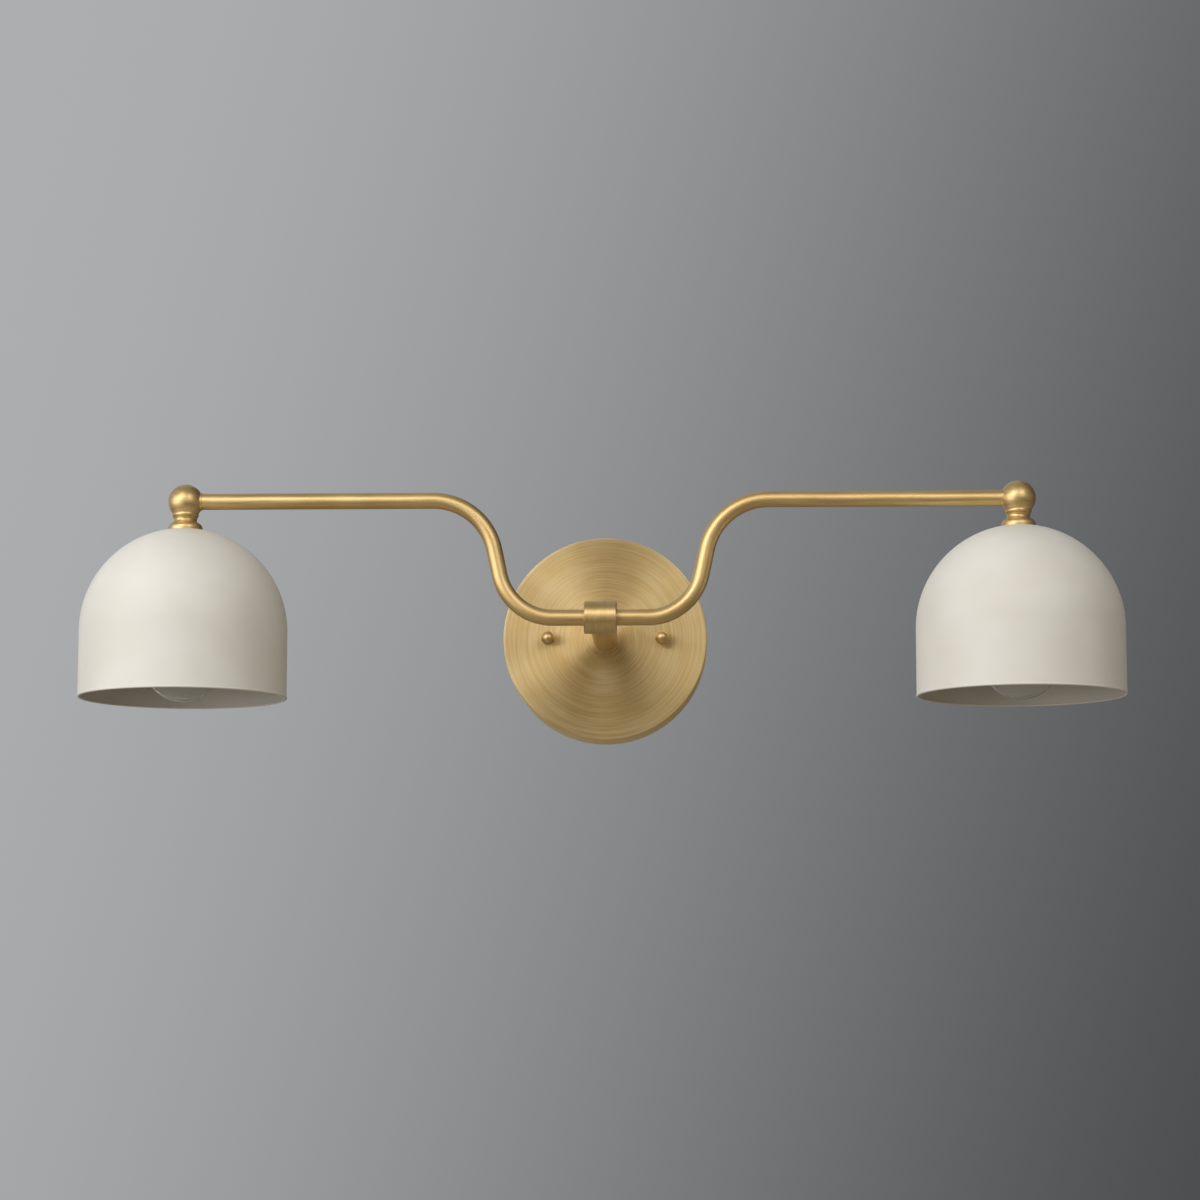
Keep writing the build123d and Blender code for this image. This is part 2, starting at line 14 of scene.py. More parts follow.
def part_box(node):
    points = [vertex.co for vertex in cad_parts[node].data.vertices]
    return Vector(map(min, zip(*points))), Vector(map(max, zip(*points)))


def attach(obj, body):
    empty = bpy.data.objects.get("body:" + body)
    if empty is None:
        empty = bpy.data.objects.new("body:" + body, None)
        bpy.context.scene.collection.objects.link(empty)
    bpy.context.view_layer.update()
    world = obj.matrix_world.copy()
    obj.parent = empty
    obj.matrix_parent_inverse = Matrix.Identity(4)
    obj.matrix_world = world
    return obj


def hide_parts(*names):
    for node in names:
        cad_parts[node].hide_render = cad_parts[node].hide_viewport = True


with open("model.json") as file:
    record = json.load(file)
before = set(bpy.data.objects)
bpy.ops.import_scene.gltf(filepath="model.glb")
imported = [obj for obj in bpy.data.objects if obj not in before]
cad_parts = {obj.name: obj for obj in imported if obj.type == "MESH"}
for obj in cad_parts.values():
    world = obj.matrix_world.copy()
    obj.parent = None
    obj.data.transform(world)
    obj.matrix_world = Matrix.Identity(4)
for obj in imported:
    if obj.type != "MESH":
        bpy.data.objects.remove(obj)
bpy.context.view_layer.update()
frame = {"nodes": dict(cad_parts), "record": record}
nodes = frame["nodes"]
mm = 0.001

# %% [markdown]
# ## The camera
# The light was photographed from a little below its backplate, nearly square on, with a long lens:
# the shades' rims show as thin ellipses and the arms hardly converge. A 96 mm lens two metres away
# gives that view. The camera is pitched up and turned a little to the left.

# %% Camera
camera_place = Vector((53.79, -1979.41, -242.86)) * mm
pitch_up, turn_left = 0.136, 0.0292  # radians
camera_lens = 96.0

camera_data = bpy.data.cameras.new("photo_camera")
camera_data.lens = camera_lens
camera = bpy.data.objects.new("photo_camera", camera_data)
camera.location = camera_place
camera.rotation_euler = (math.pi / 2 + pitch_up, 0, turn_left)
bpy.context.scene.collection.objects.link(camera)
bpy.context.scene.camera = camera
print("camera at", [round(c, 3) for c in camera_place], "m")

# %% [markdown]
# ## Selecting
# An operator works on all that is selected, and the loaded CAD nodes come selected. So each step
# starts by picking its own pieces and nothing else.


# %% Picking pieces
def only(*pieces):
    """Leaves edit mode and selects these pieces alone, the first one active."""
    if bpy.context.mode != "OBJECT":
        bpy.ops.object.mode_set(mode="OBJECT")
    bpy.ops.object.select_all(action="DESELECT")
    for piece in pieces:
        piece.select_set(True)
    bpy.context.view_layer.objects.active = pieces[0] if pieces else None


def into_mesh(piece):
    """Moves a piece's place, turn and size into its mesh, so its object sits at the origin."""
    only(piece)
    bpy.ops.object.transform_apply(location=True, rotation=True, scale=True)


def modified(piece, kind, **settings):
    """Adds a modifier with its settings and applies it."""
    only(piece)
    bpy.ops.object.modifier_add(type=kind)
    modifier = piece.modifiers[-1]
    for name, value in settings.items():
        setattr(modifier, name, value)
    bpy.ops.object.modifier_apply(modifier=modifier.name)


# %% [markdown]
# ## Turning on a lathe
# Almost every part of this light is round: spun sheet, turned bar or blown glass. Each could start
# from a cylinder and be pushed into shape ring by ring, but a maker draws the outline and turns it.
# So a primitive is merged into one point, the pen. Extrude draws a straight line from it, Spin
# draws an arc, and at the end Spin takes the whole outline round its axis. Blender's Spin turns the
# other way from the right-hand rule, so an arc's axis is reversed, and positive degrees go
# anticlockwise.


# %% Lathe
X, Y, Z = Vector((1, 0, 0)), Vector((0, 1, 0)), Vector((0, 0, 1))
arc_step = 5.0  # degrees between two points of a small arc
arc_length_step = 1.6  # and millimetres between them on a large one
fewest_steps = 3
tiny_arc, tiny_arc_steps = 2.0, 4  # an arc shorter than this, in millimetres, is not cut finer
same_point = 0.002  # millimetres within which two points are one


def face_outwards():
    """Turns the faces of the mesh that is being edited outwards, and leaves edit mode."""
    bpy.ops.mesh.select_all(action="SELECT")
    bpy.ops.mesh.normals_make_consistent(inside=False)
    bpy.ops.object.mode_set(mode="OBJECT")


def turned(name, centre, along, outline, steps=96):
    """Draws an outline and spins it round an axis through the centre.

    The outline's points are (radius, height) in millimetres. An arc from the last point is
    written as (centre radius, centre height, degrees).
    """
    radial = Z if abs(along.x) > 0.5 else X

    def place(mark):
        return centre + (radial * mark[0] + along * mark[1]) * mm

    only()
    bpy.ops.mesh.primitive_plane_add(size=mm, location=place(outline[0]))
    piece = bpy.context.object
    piece.name = name
    into_mesh(piece)
    bpy.ops.object.mode_set(mode="EDIT")
    bpy.ops.mesh.select_all(action="SELECT")
    bpy.ops.mesh.merge(type="CENTER")
    pen = Vector(outline[0])
    for mark in outline[1:]:
        if len(mark) == 2:
            stroke = place(mark) - place(pen)
            bpy.ops.mesh.extrude_region_move(TRANSFORM_OT_translate={"value": stroke})
            pen = Vector(mark)
            continue
        middle, degrees = Vector(mark[:2]), mark[2]
        swing = math.radians(abs(degrees)) * (pen - middle).length
        arc_steps = max(
            math.ceil(abs(degrees) / arc_step), math.ceil(swing / arc_length_step), fewest_steps
        )
        if swing < tiny_arc:
            arc_steps = tiny_arc_steps
        bpy.ops.mesh.spin(
            steps=arc_steps, angle=math.radians(degrees), center=place(middle),
            axis=-radial.cross(along),
        )
        pen = middle + Matrix.Rotation(math.radians(degrees), 2) @ (pen - middle)
    bpy.ops.mesh.select_all(action="SELECT")
    bpy.ops.mesh.spin(steps=steps, angle=math.tau, center=centre, axis=along)
    bpy.ops.mesh.select_all(action="SELECT")
    bpy.ops.mesh.remove_doubles(threshold=same_point * mm)
    face_outwards()
    return piece


# %% [markdown]
# ## Edges, holes and copies
# No real edge is perfectly sharp: a lathe tool or a polishing wheel leaves a tenth of a millimetre
# of rounding, and that thin bright line is how the eye reads a crisp corner. The Bevel modifier
# adds it wherever two faces meet at an angle. Weighted normals then keep the flat faces flat. Holes
# are cut with the Boolean modifier, and a piece that comes twice is modelled once and copied.


# %% Finishing touches
through = 20.0 * mm  # a cutter this long passes through the wall of any piece here


def softened(piece, width=0.12, segments=2, sharper_than=24.0, smooth_below=40.0):
    """Rounds a piece's corners, to a width in millimetres, and smooths its faces.

    The two angles, in degrees, say which corners are rounded and which faces are blended.
    """
    modified(
        piece, "BEVEL", width=width * mm, segments=segments, limit_method="ANGLE",
        angle_limit=math.radians(sharper_than), use_clamp_overlap=True,
    )
    only(piece)
    bpy.ops.object.shade_smooth_by_angle(angle=math.radians(smooth_below))
    modified(piece, "WEIGHTED_NORMAL", keep_sharp=True)
    return piece


def smoothed(piece, smooth_below=30.0):
    """Blends the faces that meet at less than this angle, and leaves the shape alone."""
    only(piece)
    bpy.ops.object.shade_smooth_by_angle(angle=math.radians(smooth_below))
    return piece


def bar(diameter, start, end, sides=64):
    """Round bar from one point to another, of a diameter in millimetres."""
    run = end - start
    only()
    bpy.ops.mesh.primitive_cylinder_add(
        vertices=sides, radius=diameter * mm / 2, depth=run.length, location=(start + end) / 2,
        rotation=run.to_track_quat("Z", "Y").to_euler(),
    )
    cutter = bpy.context.object
    into_mesh(cutter)
    return cutter


def combined(piece, others, how="DIFFERENCE"):
    """Cuts the other pieces out of this one, or joins them to it."""
    for other in others:
        modified(piece, "BOOLEAN", object=other, operation=how, solver="EXACT")
        bpy.data.objects.remove(other)
    return piece


def copied(piece, name, shift):
    """A copy with its own mesh, moved by a shift in metres."""
    only(piece)
    bpy.ops.object.duplicate(linked=False)
    twin = bpy.context.object
    twin.name = name
    bpy.ops.transform.translate(value=shift)
    into_mesh(twin)
    return twin


def measured(piece, node):
    """Prints how far a piece's box is from its CAD node's box."""
    corners = [Vector(c) for c in piece.bound_box]
    low = Vector([min(c[i] for c in corners) for i in range(3)])
    high = Vector([max(c[i] for c in corners) for i in range(3)])
    cad_low, cad_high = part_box(node)
    off = max(abs(v) for v in (*(low - cad_low), *(high - cad_high))) / mm
    print(f"{piece.name}: {len(piece.data.polygons)} faces, {off:.2f} mm from {node}")


# %% [markdown]
# ## Where things are
# These are the CAD's own sizes. The backplate's centre on the wall is the origin. The arms lie in a
# plane 130 mm out of the wall, and each ball sits 244 mm to the side and 69.5 mm up.

# %% Sizes
arm_out, arm_reach, arm_rise = 130.0, 244.0, 69.5
plate_r, plate_depth, plate_wall = 62.5, 30.0, 1.2
stud_x, stud_r, stud_end = 35.0, 2.0, 36.5
post_foot, post_r = 32.0, 7.5
collar_r, collar_half = 9.5, 9.5
tube_r, tube_wall = 4.75, 1.0
room = -Y  # out of the wall
wall_centre = Vector((0, 0, 0))
collar_centre = Vector((0, -arm_out, 0)) * mm
left_ball_centre = Vector((-arm_reach, -arm_out, arm_rise)) * mm
to_the_right = Vector((2 * arm_reach * mm, 0, 0))
print("left ball's centre in mm:", [round(c / mm, 1) for c in left_ball_centre])

# %% [markdown]
# ## Backplate
# The backplate is a disc of sheet brass spun over a former into a shallow cup, then turned on its
# face, which leaves fine rings round the centre. A cylinder with an inset would give the cup, but
# the outline gives its wall thickness, its middle hole and the soft front edge at once. The two
# holes for the studs are drilled.

# %% Backplate
front_edge = 1.0
face_r = plate_r - front_edge
plate_inner_r, plate_inside = plate_r - plate_wall, plate_depth - plate_wall
nipple_hole_r, stud_hole_d = 5.1, 4.4
drill_from, drill_to = 20.0, 40.0  # out of the wall, on both sides of the plate's face

backplate = turned("spun_backplate", wall_centre, room, [
    (nipple_hole_r, plate_depth), (face_r, plate_depth), (face_r, plate_depth - front_edge, -90.0),
    (plate_r, 0), (plate_inner_r, 0), (plate_inner_r, plate_inside), (nipple_hole_r, plate_inside),
    (nipple_hole_r, plate_depth),
], steps=192)
stud_holes = [
    bar(stud_hole_d, Vector((x, -drill_from, 0)) * mm, Vector((x, -drill_to, 0)) * mm)
    for x in (-stud_x, stud_x)
]
combined(backplate, stud_holes)
softened(backplate)
measured(backplate, "backplate")

# %% [markdown]
# ## Seat ring and post
# A stepped washer hides the hole in the middle, and the post stands on it. The post is plain bar,
# but its end is coped: hollowed to the collar's curve so the two meet without a gap. The collar's
# own cylinder is the natural cutter for that.

# %% Seat ring and post
seat_r, seat_break, step_r, seat_top = 10.5, 0.3, 8.2, 31.2
step_round = 0.35

seat_ring = turned("post_seat", wall_centre, room, [
    (nipple_hole_r, plate_depth), (seat_r, plate_depth), (seat_r, seat_top - seat_break),
    (seat_r - seat_break, seat_top), (step_r, seat_top), (step_r, post_foot - step_round),
    (step_r - step_round, post_foot - step_round, 90.0), (nipple_hole_r, post_foot),
    (nipple_hole_r, plate_depth),
])
softened(seat_ring, width=0.06)
measured(seat_ring, "post_seat_ring")

wire_bore_r = 3.2
post_end = arm_out - 2.0  # well inside the collar, so that the cope shapes all of it
post = turned("round_post", wall_centre, room, [
    (wire_bore_r, post_foot), (post_r, post_foot), (post_r, post_end), (wire_bore_r, post_end),
    (wire_bore_r, post_foot),
])
cope = bar(2 * collar_r, collar_centre - X * through, collar_centre + X * through, sides=128)
combined(post, [cope])
softened(post)
measured(post, "post")

# %% [markdown]
# ## Collar
# The collar is a short length of bar, bored across for the tube, with both ends chamfered. It was
# brushed while it turned, so its marks run round it. A grub screw from above holds the tube.

# %% Collar
collar_bore_r, collar_break = tube_r + 0.05, 0.5
collar_face_r = collar_r - collar_break
collar_flank = collar_half - collar_break
grub_hole_d = 4.0

collar = turned("brushed_collar", collar_centre, X, [
    (collar_bore_r, -collar_half), (collar_face_r, -collar_half), (collar_r, -collar_flank),
    (collar_r, collar_flank), (collar_face_r, collar_half), (collar_bore_r, collar_half),
    (collar_bore_r, -collar_half),
], steps=128)
combined(collar, [bar(grub_hole_d, collar_centre, collar_centre + Z * through)])
softened(collar, width=0.1)
measured(collar, "collar")

# %% [markdown]
# ## Cap nuts
# Two round-headed nuts hold the backplate on its studs. Each is turned in one piece: a short neck
# and a ball, drilled from behind. One is made and copied.

# %% Cap nuts
nut_foot_r, nut_head_r, nut_foot_top, nut_sink = 3.0, 4.15, 31.6, 0.6
nut_head_out = nut_foot_top + nut_head_r - nut_sink  # the head's centre
nut_sweep = 180 - math.degrees(math.asin(nut_foot_r / nut_head_r))

left_nut = turned("left_cap_nut", Vector((-stud_x, 0, 0)) * mm, room, [
    (0, nut_head_out + nut_head_r), (0, nut_head_out, -nut_sweep), (nut_foot_r, plate_depth),
    (stud_r, plate_depth), (stud_r, stud_end), (0, stud_end),
], steps=64)
softened(left_nut, width=0.08, sharper_than=30)
right_nut = copied(left_nut, "right_cap_nut", X * 2 * stud_x * mm)
print("cap nuts stand", round(nut_head_out + nut_head_r - plate_depth, 2), "mm proud")

# %% [markdown]
# ## The bent arm
# One length of brass tube runs from ball to ball. A bender leaves true arcs between straight runs,
# so the arm is made the same way: a circle at the left end is extruded along each run and spun
# about each bend's centre. A curve with a bevel would do too, but this keeps every ring square to
# the tube. The wall is added last, once the outside points the right way.

# %% Arm
upper_corner_x, lower_corner_x = 68.5, 53.5
upper_bend, lower_bend = 37.0, 32.0
bend_angle = math.degrees(math.atan2(arm_rise, upper_corner_x - lower_corner_x))
reach_of_bend = math.tan(math.radians(bend_angle / 2))
upper_x = upper_corner_x + upper_bend * reach_of_bend
lower_x = lower_corner_x - lower_bend * reach_of_bend
slant = Vector((upper_corner_x - lower_corner_x, 0, arm_rise))
slant_run = slant.normalized() * (slant.length - (upper_bend + lower_bend) * reach_of_bend)
tube_end_x = arm_reach - 8.0  # the tube stops inside the ball
tube_sides, bend_steps = 48, 28


def arm_point(x, z):
    """A point in the plane of the arm, from millimetres across and up."""
    return Vector((x, -arm_out, z)) * mm


def run(way):
    """Carries the ring of the tube's end straight on."""
    bpy.ops.mesh.extrude_region_move(TRANSFORM_OT_translate={"value": way * mm})


def bend(x, z, degrees):
    """Carries it round the centre of a bend, at (x, z)."""
    bpy.ops.mesh.spin(
        steps=bend_steps, angle=math.radians(degrees), center=arm_point(x, z), axis=Y
    )


only()
bpy.ops.mesh.primitive_circle_add(
    vertices=tube_sides, radius=tube_r * mm, location=arm_point(-tube_end_x, arm_rise),
    rotation=(0, math.pi / 2, 0),
)
arm = bpy.context.object
arm.name = "bent_arm_tube"
into_mesh(arm)
bpy.ops.object.mode_set(mode="EDIT")
bpy.ops.mesh.select_all(action="SELECT")
run(X * (tube_end_x - upper_x))
bend(-upper_x, arm_rise - upper_bend, -bend_angle)
run(Vector((slant_run.x, 0, -slant_run.z)))
bend(-lower_x, lower_bend, bend_angle)
run(X * 2 * lower_x)
bend(lower_x, lower_bend, bend_angle)
run(slant_run)
bend(upper_x, arm_rise - upper_bend, -bend_angle)
run(X * (tube_end_x - upper_x))
bpy.ops.mesh.select_all(action="SELECT")
bpy.ops.mesh.remove_doubles(threshold=same_point * mm)
face_outwards()
modified(arm, "SOLIDIFY", thickness=tube_wall * mm, offset=-1.0)
smoothed(arm)
measured(arm, "arm_tube")

# %% [markdown]
# ## Balls
# Each ball is turned from bar and bored for the tube, with a thin lip round the bore and a bead
# under it where the neck begins. The ball and lip are round about the tube's axis and the bead is
# round about the shade's, so they are turned apart and united. The left one is mirrored for the
# right side, and a mirrored shape is inside out until its normals are recalculated.

# %% Balls
ball_r, lip_r, lip_end, lip_round = 10.25, 5.1, 9.9, 0.2
ball_bore_r, ball_bore_end = 4.8, 2.4
bead_top, bead_bottom, bead_r, bead_foot_r = 6.9, 9.0, 7.5, 7.3
bead_bulge = 0.35
nipple_r, nipple_top, wire_room_r = 5.0, 5.3, 3.5
pin_x, pin_hole_d = 5.2, 3.0
lip_turn = math.degrees(math.asin(lip_r / ball_r))


def arc_through(start, end, bulge):
    """Centre and degrees of a shallow arc between two points, bulging to the right of its way."""
    start, end = Vector(start), Vector(end)
    chord = end - start
    radius = (chord.length**2 / 4 + bulge**2) / (2 * abs(bulge))
    side = Vector((chord.y, -chord.x)).normalized() * math.copysign(1, bulge)
    centre = (start + end) / 2 - side * (radius - abs(bulge))
    degrees = 2 * math.degrees(math.asin(chord.length / 2 / radius)) * math.copysign(1, bulge)
    return (centre.x, centre.y, degrees)


left_ball = turned("left_ball_knuckle", left_ball_centre, X, [
    (0, -ball_r), (0, 0, 180 - lip_turn), (lip_r, lip_end - lip_round),
    (lip_r - lip_round, lip_end - lip_round, 90.0), (ball_bore_r, lip_end),
    (ball_bore_r, ball_bore_end), (0, ball_bore_end),
])
bead = turned("bead", left_ball_centre, Z, [
    (0, -bead_top), (0, -bead_bottom), (bead_foot_r, -bead_bottom),
    arc_through((bead_foot_r, -bead_bottom), (bead_r, -bead_top), bead_bulge), (0, -bead_top),
])
combined(left_ball, [bead], how="UNION")
below = left_ball_centre - Z * through
pin_place = left_ball_centre + X * pin_x * mm
combined(left_ball, [
    bar(2 * wire_room_r, left_ball_centre, below),
    bar(2 * nipple_r, left_ball_centre - Z * nipple_top * mm, below),
    bar(pin_hole_d, pin_place, pin_place + Y * through, sides=32),
])
right_ball = copied(left_ball, "right_ball_knuckle", Vector((0, 0, 0)))
bpy.ops.transform.resize(value=(-1, 1, 1), center_override=(0, 0, 0))
into_mesh(right_ball)
bpy.ops.object.mode_set(mode="EDIT")
face_outwards()
for ball, node in ((left_ball, "left_ball"), (right_ball, "right_ball")):
    softened(ball, width=0.08, sharper_than=30)
    measured(ball, node)

# %% [markdown]
# ## Necks
# The neck is turned as one piece: a hollow cove, a sharp step, and a round shoulder that flares to
# the shade. The step is what makes it look turned, so it is drawn and only barely softened.

# %% Necks
dome_r, crown_r, rim_drop, shade_height = 60.5, 10.6, 116.2, 100.0
dome_centre = rim_drop - shade_height + dome_r
seat_level = dome_centre - math.sqrt(dome_r**2 - crown_r**2)  # the shade's crown
neck_top_r, neck_r, spigot_r, spigot_end = 7.0, 10.05, 7.0, 23.1
shoulder_top, shoulder_foot = 12.7, 16.0
top_break, step_break = 0.35, 0.15  # how far the cove stays from the neck's two corners
cove_top = (neck_top_r + top_break, -bead_bottom - top_break)
shoulder = (7.75, -shoulder_top)
cove_foot = (shoulder[0] - step_break, -shoulder_top + step_break)
cove_depth, shoulder_bulge = 0.78, 0.63

left_neck = turned("left_turned_neck", left_ball_centre, Z, [
    (nipple_r, -bead_bottom), (neck_top_r, -bead_bottom), cove_top,
    arc_through(cove_top, cove_foot, cove_depth), shoulder,
    arc_through(shoulder, (neck_r, -shoulder_foot), -shoulder_bulge), (neck_r, -seat_level),
    (spigot_r, -seat_level), (spigot_r, -spigot_end), (nipple_r, -spigot_end),
    (nipple_r, -bead_bottom),
])
softened(left_neck, width=0.08)
measured(left_neck, "left_neck")
right_neck = copied(left_neck, "right_turned_neck", to_the_right)

# %% [markdown]
# ## Shades
# Each shade is spun from steel sheet: a half ball that runs into a short straight skirt, with the
# rim rolled so that it isn't a knife edge. The whole wall is drawn, outside and inside, because
# one looks up into the shade and sees how thin it is. Both sides are powder coated after spinning.

# %% Shades
sheet = 1.0
dome_inside_r = dome_r - sheet
crown_inside = seat_level + sheet
crown_inside_r = math.sqrt(dome_inside_r**2 - (dome_centre - crown_inside) ** 2)
dome_turn = 90 - math.degrees(math.asin(crown_r / dome_r))
dome_inside_turn = 90 - math.degrees(math.asin(crown_inside_r / dome_inside_r))
rim_swell = 0.35  # how much thicker than the sheet the roll is, on each side
sheet_middle = (dome_r + dome_inside_r) / 2
roll_r = sheet / 2 + rim_swell
roll_centre = rim_drop - roll_r

left_shade = turned("left_dome_shade", left_ball_centre, Z, [
    (spigot_r, -seat_level), (crown_r, -seat_level), (0, -dome_centre, -dome_turn),
    (dome_r, roll_r - roll_centre), (sheet_middle + roll_r, -roll_centre),
    (sheet_middle, -roll_centre, -180.0), (dome_inside_r, roll_r - roll_centre),
    (dome_inside_r, -dome_centre), (0, -dome_centre, dome_inside_turn),
    (spigot_r, -crown_inside), (spigot_r, -seat_level),
], steps=192)
softened(left_shade, width=0.1)
measured(left_shade, "left_shade")
right_shade = copied(left_shade, "right_dome_shade", to_the_right)

# %% [markdown]
# ## Sockets
# Up inside each shade is a drawn brass cup over a glazed porcelain socket. The socket's thread is
# a thin brass shell rolled into rings. They show from below and when a bulb is out.

# %% Socket cups
cup_top, cup_bottom, cup_r, cup_wall, cup_shoulder = 21.1, 46.8, 17.5, 1.0, 3.0
cup_inner_r = cup_r - cup_wall
cup_crown, cup_crown_break = 1.2, 1.8  # its top is a little thicker, with a cut inside corner

left_cup = turned("left_drawn_cup", left_ball_centre, Z, [
    (spigot_r, -cup_top), (cup_r - cup_shoulder, -cup_top),
    (cup_r - cup_shoulder, -cup_top - cup_shoulder, -90.0), (cup_r, -cup_bottom),
    (cup_inner_r, -cup_bottom), (cup_inner_r, -cup_top - cup_shoulder),
    (cup_inner_r - cup_crown_break, -cup_top - cup_crown), (spigot_r, -cup_top - cup_crown),
    (spigot_r, -cup_top),
])
softened(left_cup, width=0.15)
measured(left_cup, "left_socket_cup")
right_cup = copied(left_cup, "right_drawn_cup", to_the_right)

# %% Porcelain
porcelain_top, porcelain_mouth, porcelain_floor = 29.8, 63.1, 37.2
porcelain_break, wire_hole_r = 0.8, 2.5
shell_outer_r, shell_wall = 13.75, 0.4

left_porcelain = turned("left_porcelain_socket", left_ball_centre, Z, [
    (wire_hole_r, -porcelain_top), (cup_inner_r, -porcelain_top),
    (cup_inner_r, -porcelain_mouth + porcelain_break),
    (cup_inner_r - porcelain_break, -porcelain_mouth), (shell_outer_r, -porcelain_mouth),
    (shell_outer_r, -porcelain_floor), (wire_hole_r, -porcelain_floor),
    (wire_hole_r, -porcelain_top),
])
softened(left_porcelain, width=0.4, segments=3)
measured(left_porcelain, "left_socket_body")
right_porcelain = copied(left_porcelain, "right_porcelain_socket", to_the_right)

# %% Threaded shells
shell_top, shell_bottom, shell_pitch = 39.8, 62.3, 3.6
shell_inner_r = shell_outer_r - shell_wall
ring_depth, ring_count, shell_lip = 0.2, 6, 0.45
first_ring = shell_bottom - shell_lip
shell_outline = [
    (shell_inner_r, -shell_top), (shell_outer_r, -shell_top), (shell_outer_r, -shell_bottom),
    (shell_inner_r, -shell_bottom), (shell_inner_r, -first_ring),
]
for ring in range(ring_count):
    level = first_ring - ring * shell_pitch
    shell_outline.append(
        arc_through((shell_inner_r, -level), (shell_inner_r, -level + shell_pitch), -ring_depth)
    )
shell_outline.append((shell_inner_r, -shell_top))
left_shell = turned("left_threaded_shell", left_ball_centre, Z, shell_outline, steps=64)
smoothed(left_shell, smooth_below=50)
measured(left_shell, "left_socket_shell")
right_shell = copied(left_shell, "right_threaded_shell", to_the_right)

# %% [markdown]
# ## Bulb glass
# The bulb is a blown globe that runs into its neck through a soft shoulder. Clear glass bends light
# at both of its faces, so its wall has to be there: the outline goes down the outside and back up
# the inside, 0.8 mm apart, and closes at the neck.

# %% Bulb glass
globe_r, globe_centre, glass = 23.7, 94.3, 0.8
glass_neck_r, glass_top = 12.0, 60.8
shoulder_turn = 45.0
slope = math.radians(shoulder_turn)
shoulder_bend = (globe_r * math.cos(slope) - glass_neck_r) / (1 - math.cos(slope))
shoulder_level = globe_centre - (globe_r + shoulder_bend) * math.sin(slope)
globe_turn = 90 + shoulder_turn
globe_inside_r, shoulder_middle_r = globe_r - glass, glass_neck_r + shoulder_bend

left_glass = turned("left_blown_glass", left_ball_centre, Z, [
    (glass_neck_r, -glass_top), (glass_neck_r, -shoulder_level),
    (shoulder_middle_r, -shoulder_level, shoulder_turn), (0, -globe_centre, -globe_turn),
    (0, -globe_centre - globe_inside_r), (0, -globe_centre, globe_turn),
    (shoulder_middle_r, -shoulder_level, -shoulder_turn), (glass_neck_r - glass, -glass_top),
    (glass_neck_r, -glass_top),
], steps=128)
smoothed(left_glass, smooth_below=50)
measured(left_glass, "left_bulb_glass")
right_glass = copied(left_glass, "right_blown_glass", to_the_right)

# %% [markdown]
# ## Bulb base
# The screw base is thin metal rolled into a thread. At this size the thread's slope is too slight
# to see, so rings stand for it. Black glass keeps the base apart from the contact at its tip.

# %% Bulb base
base_r, thread_root_r, thread_top_r, thread_pitch = 13.05, 12.4, 11.2, 3.6
base_top, thread_first, thread_turns = 42.1, 43.6, 4
skirt_top = thread_first + thread_turns * thread_pitch
skirt_break, skirt_bottom = 0.8, skirt_top + 6.4
thread_bulge = base_r - thread_root_r

base_outline = [(thread_top_r, -base_top), (thread_root_r, -thread_first)]
for turn in range(thread_turns):
    level = thread_first + turn * thread_pitch
    base_outline.append(
        arc_through((thread_root_r, -level), (thread_root_r, -level - thread_pitch), -thread_bulge)
    )
base_outline += [
    (base_r, -skirt_top - skirt_break), (base_r, -skirt_bottom), (glass_neck_r, -skirt_bottom),
    (glass_neck_r, -glass_top), (thread_top_r, -glass_top), (thread_top_r, -base_top),
]
left_base = turned("left_bulb_screw_base", left_ball_centre, Z, base_outline)
softened(left_base, width=0.08, sharper_than=40)
measured(left_base, "left_bulb_base")
right_base = copied(left_base, "right_bulb_screw_base", to_the_right)

# %% [markdown]
# ## Filament and stem
# A glass stem rises inside the bulb and carries two support wires, and a wound filament sags
# between their ends. The real winding is too fine to see, so its wire is drawn 0.22 mm thick with
# 22 turns. The Screw modifier winds it straight, and Simple Deform gives it the sag.

# %% Stem
stem_end = 86.8
stem_outline = [  # the flare that is fused to the bulb's neck, then the pinched rod
    (0, -62.3), (8.0, -62.3), (11.2, -61.3), (11.2, -62.3), (8.5, -63.8), (3.4, -69.8),
    (2.8, -84.8), (2.0, -86.2), (0, -stem_end),
]

left_stem = turned("left_glass_stem", left_ball_centre, Z, stem_outline, steps=48)
smoothed(left_stem, smooth_below=50)
measured(left_stem, "left_bulb_stem")
right_stem = copied(left_stem, "right_glass_stem", to_the_right)

# %% Filament
coil_level, coil_half, coil_sag = 106.3, 6.5, 1.2
coil_turns, coil_r, coil_wire_r = 22, 0.48, 0.11
coil_sides, coil_turn_steps = 6, 12
support_r, support_top_x, support_sides = 0.32, 1.4, 12
support_root, support_hook = 1.5, 0.4  # how far it goes into the stem and past the coil

only()
bpy.ops.mesh.primitive_circle_add(
    vertices=coil_sides, radius=coil_wire_r * mm,
    location=Vector((-coil_half, 0, coil_r)) * mm, rotation=(math.pi / 2, 0, 0),
)
left_coil = bpy.context.object
left_coil.name = "left_filament"
into_mesh(left_coil)
modified(
    left_coil, "SCREW", axis="X", screw_offset=2 * coil_half / coil_turns * mm,
    iterations=coil_turns, steps=coil_turn_steps, render_steps=coil_turn_steps,
)
modified(
    left_coil, "SIMPLE_DEFORM", deform_method="BEND", deform_axis="Y",
    angle=4 * math.atan(coil_sag / coil_half),
)
only(left_coil)
bpy.ops.transform.translate(value=left_ball_centre - Z * coil_level * mm)
into_mesh(left_coil)
supports = [
    bar(
        2 * support_r,
        left_ball_centre + Vector((side * support_top_x, 0, support_root - stem_end)) * mm,
        left_ball_centre + Vector((side * coil_half, 0, -coil_level - support_hook)) * mm,
        sides=support_sides,
    )
    for side in (-1, 1)
]
only(left_coil, *supports)
bpy.ops.object.join()
smoothed(left_coil, smooth_below=60)
measured(left_coil, "left_bulb_filament")
